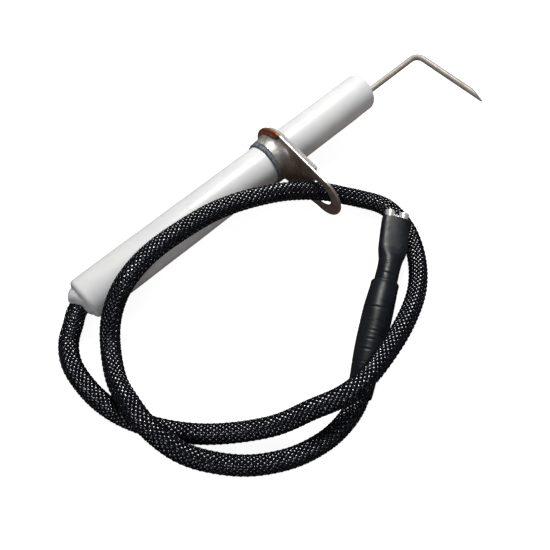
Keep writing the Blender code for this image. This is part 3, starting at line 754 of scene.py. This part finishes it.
def build_flange():
    """The plate and its collar, then the fibre gasket on the front, cut off before the eye."""
    tab_reach, gasket_cut = 22.3 * MM, 16.5 * MM
    steel = drawn_steel()
    sheet = build_plate(steel, tab_reach)
    collar = build_collar(steel)
    for piece in (sheet, collar):
        paint_steel(piece)
        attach(piece, "electrode")
    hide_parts("mounting_flange")
    outlines = [tab_outline(9.5 * MM, 7.5 * MM, tab_reach, gasket_cut), circle(7.3 * MM)]
    gasket = plate("front_gasket_sheet", outlines, 1.3 * MM, 0.15 * MM, 1.45 * MM, pressed_fibre())
    place_piece(gasket, "front_gasket", "electrode")


# ---------------------------------------------------------------- braided lead

CARRIERS = 10                  # strands in each direction
PICK = 1.85 * MM               # reach of the lead between crossings of the same kind
STATION_STEP = PICK / 8        # reach between sections of a strand
WEAVE_RADIUS = 2.70 * MM       # middle of the two sets of strands
WEAVE_DEPTH = 0.22 * MM        # how far a strand goes up and down where it crosses
YARN_HALF = 0.66 * MM          # half of a strand's width
YARN_CROWN = 0.24 * MM         # how far its middle rises over its edges
YARN_SECTION = ((-1.0, -0.04), (-0.62, 0.62), (0.0, 1.0), (0.62, 0.62), (1.0, -0.04))
CORE_RADIUS = 2.50 * MM        # the sleeve seen between the strands
CORE_SIDES = 24
HINGE_REACH = 8 * MM           # the lead bends from this far before its first hinge to as far past its last
YARN_SEED = 7


def strand(reach, axes, hand, turn):
    """Sections of one crowned strand that winds round the lead and goes over and under the others."""
    centre, tangent, out, across = axes
    angle = math.tau * (turn + hand * reach / (CARRIERS * PICK))
    cosine, sine = np.cos(angle)[:, None], np.sin(angle)[:, None]
    radial, around = cosine * out + sine * across, cosine * across - sine * out
    lead_angle = math.atan2(math.tau * WEAVE_RADIUS, CARRIERS * PICK)
    wide = around * math.cos(lead_angle) - tangent * hand * math.sin(lead_angle)
    level = WEAVE_RADIUS + hand * WEAVE_DEPTH * np.cos(math.tau * reach / PICK)
    rows = []
    for sideways, rise in YARN_SECTION:
        height = (level + rise * YARN_CROWN)[:, None]
        rows.append(centre + radial * height + wide * (sideways * YARN_HALF))
    return np.stack(rows, axis=1)


def core_sleeve(axes):
    """Rings of the dark sleeve under the strands, one for every few stations."""
    centre, _, out, across = axes
    angles = np.linspace(0.0, math.tau, CORE_SIDES, endpoint=False)
    ring = np.cos(angles)[None, :, None] * out[:, None] + np.sin(angles)[None, :, None] * across[:, None]
    coarse = np.unique(np.r_[np.arange(0, len(centre), 4), len(centre) - 1])
    return (centre[:, None] + ring * CORE_RADIUS)[coarse]


def quad_object(name, verts, faces, values, material):
    """A smooth object of quads with values at its vertices, made in one go because it has many faces."""
    mesh = bpy.data.meshes.new(name)
    mesh.vertices.add(len(verts))
    mesh.vertices.foreach_set("co", verts.ravel())
    mesh.loops.add(faces.size)
    mesh.loops.foreach_set("vertex_index", faces.ravel())
    mesh.polygons.add(len(faces))
    mesh.polygons.foreach_set("loop_start", np.arange(len(faces)) * 4)
    mesh.polygons.foreach_set("loop_total", np.full(len(faces), 4))
    mesh.update(calc_edges=True)
    mesh.shade_smooth()
    for label, numbers in values.items():
        attribute = mesh.attributes.new(label, "FLOAT", "POINT")
        attribute.data.foreach_set("value", numbers.astype(np.float32))
    mesh.materials.append(material)
    return add_object(name, mesh)


def build_braid(name, lead, start, end, material):
    """The braid between two stations of the lead: two opposed sets of strands over a dark sleeve."""
    rng = np.random.default_rng(YARN_SEED)
    tones = rng.random((2, CARRIERS))
    stations = slice(start, end + 1)
    axes = [run[stations] for run in lead]
    reach = np.arange(len(lead[0]))[stations] * STATION_STEP
    crosswise = np.tile([sideways for sideways, _ in YARN_SECTION], len(reach))
    grids, tone, across = [], [], []
    for row, hand in enumerate((1, -1)):
        for carrier in range(CARRIERS):
            grids.append(strand(reach, axes, hand, carrier / CARRIERS))
            tone.append(np.full(len(crosswise), tones[row, carrier]))
            across.append(crosswise)
    core = core_sleeve(axes)
    grids.append(core)
    plain = np.zeros(core.shape[0] * core.shape[1])
    tone.append(plain)
    across.append(plain)

    faces, count = [], 0
    for grid in grids:
        rows, columns = grid.shape[:2]
        faces.append(grid_faces(rows, columns) + count)
        count += rows * columns
    verts = np.concatenate([grid.reshape(-1, 3) for grid in grids])
    values = {"tone": np.concatenate(tone), "across": np.concatenate(across)}
    return quad_object(name, verts, np.concatenate(faces), values, material)


def build_lead():
    """The braid over the whole lead. Its joints are spanned by short pieces that are left on no body."""
    line = spline(lead_line(), STATION_STEP)
    lead = (line, *carried_frames(line, UP))

    def station(place):
        return int(np.argmin(np.linalg.norm(line - np.array(place), axis=1)))

    hinges = ("lead_swing", "terminal_swing", "terminal_lift")
    swing, tail, lift = (station(joints[hinge]["pos_m"]) for hinge in hinges)
    inside = np.flatnonzero((line - FACE) @ FRONT < TAIL + 2.5 * MM)[0]
    reach = int(HINGE_REACH / STATION_STEP)
    first_bend, last_bend = swing - reach, lift + reach
    halfway, nearly = (swing + tail) // 2, (tail + lift) // 2
    cuts = np.linspace(inside, first_bend, 5).astype(int)
    parts = [
        (f"lead_braid_{i + 1}", cuts[i], cuts[i + 1], ("electrode",), "braid_main")
        for i in range(len(cuts) - 1)
    ]
    parts += [
        ("lead_braid_swing", first_bend, halfway, ("electrode", "lead_mid"), "braid_mid"),
        ("lead_braid_turn", halfway, nearly, ("lead_mid", "lead_tail"), "braid_tail"),
        ("lead_braid_lift", nearly, last_bend, ("lead_tail", "terminal"), "braid_end"),
    ]
    yarn = braid_yarn()
    for name, start, end, bodies, node in parts:
        piece = build_braid(name, lead, start, end, yarn)
        if len(bodies) == 1:
            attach(piece, bodies[0])
        else:
            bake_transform(piece)
        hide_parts(node)
    return line


# ---------------------------------------------------------------- terminal and its sleeves

def terminal_frame():
    """The terminal's own directions, from the straight end of the CAD conductor."""
    stations = wire_stations("conductor_end", LIFT)
    along = unit(stations[-1] - stations[-3])
    return along, np.cross(along, SIDE)


ALONG, OVER = terminal_frame()

# Sideways bow of the sleeved terminal in millimetres, at reaches from its hinge in millimetres.
BOW_REACHES = np.array((1.0, 12.0, 28.0, 40.0, 50.0, 60.0, 66.0))
BOW_SHIFTS = np.array((0.0, -0.1, -0.40, -0.80, -1.0, -0.3, 0.0))


def terminal_point(d, y, z):
    """A point of the terminal: reach from its hinge, then sideways and upwards."""
    d, y, z = np.broadcast_arrays(d, y, z)
    return LIFT + ALONG * d[..., None] + SIDE * y[..., None] + OVER * z[..., None]


def superellipse(half_width, half_height, squareness, steps):
    """An oval that is squarer the higher its squareness; 2 makes an ellipse."""
    angles = np.linspace(0.0, math.tau, steps, endpoint=False)
    c, s = np.cos(angles), np.sin(angles)
    return (np.sign(c) * np.abs(c) ** (2 / squareness) * half_width,
            np.sign(s) * np.abs(s) ** (2 / squareness) * half_height)


def tube_skin(name, sections, material, creases):
    """A shrunk tube through sections of (reach, half width, half height, squareness), in millimetres."""
    steps, spacing, wall, lip_round = 96, 0.25, 0.5, 0.12
    table = np.array(sections, float)
    rows = []
    for d in np.arange(table[0, 0], table[-1, 0] + spacing / 2, spacing):
        wide, high, square = (smooth_between(table[:, 0], table[:, k], d) for k in (1, 2, 3))
        y, z = superellipse(wide, high, square, steps)
        swell = 1 + creases(d, np.arctan2(z, y)) / np.hypot(y, z)
        y, z = y * swell, z * swell
        rows.append(terminal_point(np.full(steps, d) * MM, (y + boot_bow(d)) * MM, z * MM))
    outer = np.array(rows)
    centre = outer.mean(axis=1, keepdims=True)
    size = np.linalg.norm(outer - centre, axis=2, keepdims=True)
    inner = centre + (outer - centre) * (1 - wall * MM / size)
    lip = [outer[-1] * 0.6 + inner[-1] * 0.4 + ALONG * lip_round * MM]
    tail = [outer[0] * 0.6 + inner[0] * 0.4 - ALONG * lip_round * MM]
    points = np.concatenate([tail, outer, lip, inner[::-1]])
    count = len(points)
    closing = grid_faces(2, steps)
    closing = np.where(closing < steps, closing + (count - 1) * steps, closing - steps)
    faces = np.vstack([grid_faces(count, steps), closing])
    return finish_mesh(name, points.reshape(-1, 3), faces, material, math.radians(50))


def smooth_between(xs, ys, x):
    """Monotone cubic interpolation of a small table."""
    i = int(np.clip(np.searchsorted(xs, x, side="right") - 1, 0, len(xs) - 2))
    slopes = np.diff(ys) / np.diff(xs)
    inner = [0.0 if a * b <= 0 else 2 * a * b / (a + b) for a, b in zip(slopes, slopes[1:])]
    ends = np.r_[slopes[:1], inner, slopes[-1:]]
    h = xs[i + 1] - xs[i]
    t = (x - xs[i]) / h
    left = (2 * t ** 3 - 3 * t ** 2 + 1) * ys[i] + (t ** 3 - 2 * t ** 2 + t) * h * ends[i]
    right = (3 * t ** 2 - 2 * t ** 3) * ys[i + 1] + (t ** 3 - t ** 2) * h * ends[i + 1]
    return left + right


def boot_bow(d):
    """How far the sleeved terminal bows sideways at a reach, in millimetres."""
    return smooth_between(BOW_REACHES, BOW_SHIFTS, float(d))


def wrinkles(count, first, last, height, seed):
    """Relief of short creases across one side of a shrunk tube, over a slight waviness; in millimetres."""
    rng = np.random.default_rng(seed)
    places = np.sort(rng.uniform(first, last, count))
    middles = rng.uniform(math.radians(20), math.radians(190), count)
    spans = rng.uniform(0.35, 0.8, count)
    depths = rng.uniform(0.4, 1.0, count) * height

    def relief(d, angle):
        total = np.zeros_like(angle)
        for place, middle, span, depth in zip(places, middles, spans, depths):
            turn = np.angle(np.exp(1j * (angle - middle)))
            slant = d - place + turn * 0.25
            groove = np.exp(-(slant / 0.28) ** 2)
            ridge = 0.5 * np.exp(-((slant - 0.55) / 0.35) ** 2)
            total += depth * (ridge - groove) * np.exp(-(turn / span) ** 2)
        waves = 0.035 * np.sin(2 * angle + d * 0.31 + seed) + 0.03 * np.sin(3 * angle - d * 0.17)
        return total + waves
    return relief


def build_sleeves():
    """Two shrink tubes: a wide one over the lead's end, and a flattened one over the terminal."""
    lower = (
        (1.0, 3.75, 3.75, 2), (3.0, 3.95, 3.95, 2), (7.0, 4.15, 4.15, 2), (13.0, 4.5, 4.5, 2),
        (20.0, 4.75, 4.75, 2), (28.0, 4.85, 4.8, 2), (34.0, 4.62, 4.6, 2), (37.6, 4.45, 4.45, 2),
        (38.6, 4.5, 4.5, 2), (39.0, 4.3, 4.3, 2),
    )
    creases = wrinkles(count=17, first=6, last=37, height=0.17, seed=3)
    piece = tube_skin("lower_tube_skin", lower, shrink_tube("wide_shrink_tube"), creases)
    place_piece(piece, "lower_shrink_tube", "terminal")

    upper = (
        (33.0, 3.75, 3.75, 2), (39.5, 3.8, 3.8, 2), (44.0, 3.72, 3.72, 2.0), (47.0, 3.85, 3.6, 2.2),
        (49.5, 4.35, 3.1, 2.8), (51.5, 4.68, 2.72, 3.4), (54.0, 4.75, 2.62, 3.8), (60.0, 4.72, 2.62, 3.8),
        (62.5, 4.68, 2.58, 3.6),
    )
    creases = wrinkles(count=8, first=40, last=49, height=0.10, seed=11)
    piece = tube_skin("upper_tube_skin", upper, shrink_tube("flat_shrink_tube"), creases)
    place_piece(piece, "upper_shrink_tube", "terminal")


def build_terminal():
    """Receptacle of folded tinned sheet: a flat floor, two rolled edges, a neck and a crimped barrel."""
    floor, steps, sheet, edge_round = -1.45, 22, 0.4, 0.08
    # (reach from the hinge, half width, radius of the roll, angle that the roll turns to), in mm and degrees
    sections = (
        (65.3, 3.85, 1.50, 195), (65.0, 3.82, 1.50, 198), (64.2, 3.72, 1.46, 200), (60.0, 3.70, 1.45, 200),
        (55.0, 3.70, 1.45, 200), (51.0, 3.70, 1.45, 200), (49.5, 3.2, 1.30, 110), (48.0, 2.4, 1.1, 20),
        (46.5, 1.7, 1.1, 15), (45.0, 1.45, 1.30, 60), (44.0, 1.40, 1.30, 76), (39.0, 1.40, 1.30, 76),
    )
    rows = []
    for d, half, roll, turn in sections:
        angles = np.radians(np.linspace(-90, turn, steps))
        y, z = half - roll + roll * np.cos(angles), floor + roll + roll * np.sin(angles)
        rows.append(terminal_point(d * MM, (np.r_[-y[::-1], y] + boot_bow(d)) * MM, np.r_[z[::-1], z] * MM))
    points = np.array(rows).reshape(-1, 3)
    faces = grid_faces(len(rows), 2 * steps, closed=False)
    piece = finish_mesh("terminal_sheet", points, faces, tinned_sheet(), math.radians(60))
    shell = piece.modifiers.new("Sheet", "SOLIDIFY")
    shell.thickness = sheet * MM
    shell.offset = 0.0
    edge = piece.modifiers.new("Edge", "BEVEL")
    edge.width = edge_round * MM
    edge.segments = 2
    edge.limit_method = "ANGLE"
    edge.angle_limit = math.radians(50)
    place_piece(piece, "spade_terminal", "terminal")


# ---------------------------------------------------------------- hidden pieces, stage and camera

def dress_hidden_nodes():
    """Materials for the CAD pieces inside the insulator and the lead."""
    silicone = hidden_looks("silicone", (0.34, 0.05, 0.03), (0.50, 0.11, 0.06), 0.5, 0.0, 2 * MM)
    copper = hidden_looks("tinned_copper", (0.60, 0.52, 0.42), (0.80, 0.76, 0.70), 0.35, 1.0, 0.5 * MM)
    brass = hidden_looks("tinned_brass", (0.60, 0.56, 0.46), (0.76, 0.73, 0.64), 0.3, 1.0, 1 * MM)
    for name, node in frame["nodes"].items():
        material = {"insulation": silicone, "conductor": copper, "splice": brass}.get(name.split("_")[0])
        if material:
            node.data.materials.clear()
            node.data.materials.append(material)


KEY_PLACE, KEY_SIZE, KEY_POWER = (0.131, 0.180, 0.335), 0.15, 1.45
FILL_PLACE, FILL_SIZE, FILL_POWER = (-0.42, -0.16, 0.30), 0.16, 0.36
SURROUND = 0.18
SURROUND_IN_REFLECTIONS = 0.4 * SURROUND
FLOOR_GLOW = 0.92


def area_light(name, place, size, power, colour):
    """A round lamp that is aimed at the origin."""
    lamp = bpy.data.lights.new(name, "AREA")
    lamp.shape = "DISK"
    lamp.size = size
    lamp.energy = power
    lamp.color = colour
    obj = add_object(name, lamp)
    obj.location = place
    obj.rotation_euler = (-Vector(place)).to_track_quat("-Z", "Y").to_euler()


def build_floor():
    """A floor that the viewer sees pale and glowing, and that the part sees as a brown table."""
    looks = Looks("pale_floor", (0.4, 0.35, 0.32), 0.8)
    path = looks.nodes.new("ShaderNodeLightPath").outputs
    seen = path["Is Camera Ray"]
    table = looks.mix(path["Is Glossy Ray"], (0.40, 0.34, 0.30), (0.09, 0.07, 0.06))
    pale = looks.mix(looks.noise(0.2, 2), (0.44, 0.44, 0.44), (0.46, 0.46, 0.46))
    glow = looks.math("MULTIPLY", seen, FLOOR_GLOW)
    looks.set(**{"Base Color": looks.mix(seen, table, pale), "Specular IOR Level": 0.0})
    looks.set(**{"Emission Color": (1.0, 1.0, 1.0), "Emission Strength": glow})
    bpy.ops.mesh.primitive_grid_add(x_subdivisions=4, y_subdivisions=4, size=6.0, location=(0, 0, 0))
    floor = bpy.context.object
    floor.name = "floor"
    floor.data.materials.append(looks.material)


def build_surround():
    """A dim bluish surround, dimmer still in reflections."""
    world = bpy.data.worlds.new("surround")
    world.use_nodes = True
    nodes, links = world.node_tree.nodes, world.node_tree.links
    background = nodes["Background"]
    background.inputs["Color"].default_value = (0.93, 0.96, 1.0, 1.0)
    dimmer = nodes.new("ShaderNodeMapRange")
    dimmer.inputs["To Min"].default_value = SURROUND
    dimmer.inputs["To Max"].default_value = SURROUND_IN_REFLECTIONS
    glossy = nodes.new("ShaderNodeLightPath").outputs["Is Glossy Ray"]
    links.new(glossy, dimmer.inputs["Value"])
    links.new(dimmer.outputs["Result"], background.inputs["Strength"])
    bpy.context.scene.world = world


def build_stage():
    """Floor, surround, a yellowish key light beyond the part and a weak cool fill from its rear."""
    build_floor()
    build_surround()
    area_light("key", KEY_PLACE, KEY_SIZE, KEY_POWER, (1.0, 0.98, 0.95))
    area_light("fill", FILL_PLACE, FILL_SIZE, FILL_POWER, (0.93, 0.96, 1.0))
    bpy.context.scene.view_settings.view_transform = "Standard"


def build_camera():
    """The photograph's viewpoint, placed from the middle of the flange's face."""
    looking = unit((0.34009, 0.29839, -0.89180))
    right = unit((0.73219, -0.67911, 0.05200))
    place = FACE + np.array((-0.10206, -0.09406, 0.17983))
    back = -looking
    turn = Matrix(np.column_stack([right, np.cross(back, right), back]).tolist()).to_4x4()
    turn.translation = Vector(place)
    lens = bpy.data.cameras.new("photo_camera")
    lens.sensor_width = 36.0
    lens.lens = 41.89
    lens.clip_start = 0.005
    camera = add_object("photo_camera", lens)
    camera.matrix_world = turn
    bpy.context.scene.camera = camera


build_insulator()
build_collar_ring()
build_front_bead()
lead_centre = build_lead()
build_rear_cap(lead_centre)
build_rod()
build_flange()
build_sleeves()
build_terminal()
dress_hidden_nodes()
build_stage()
build_camera()
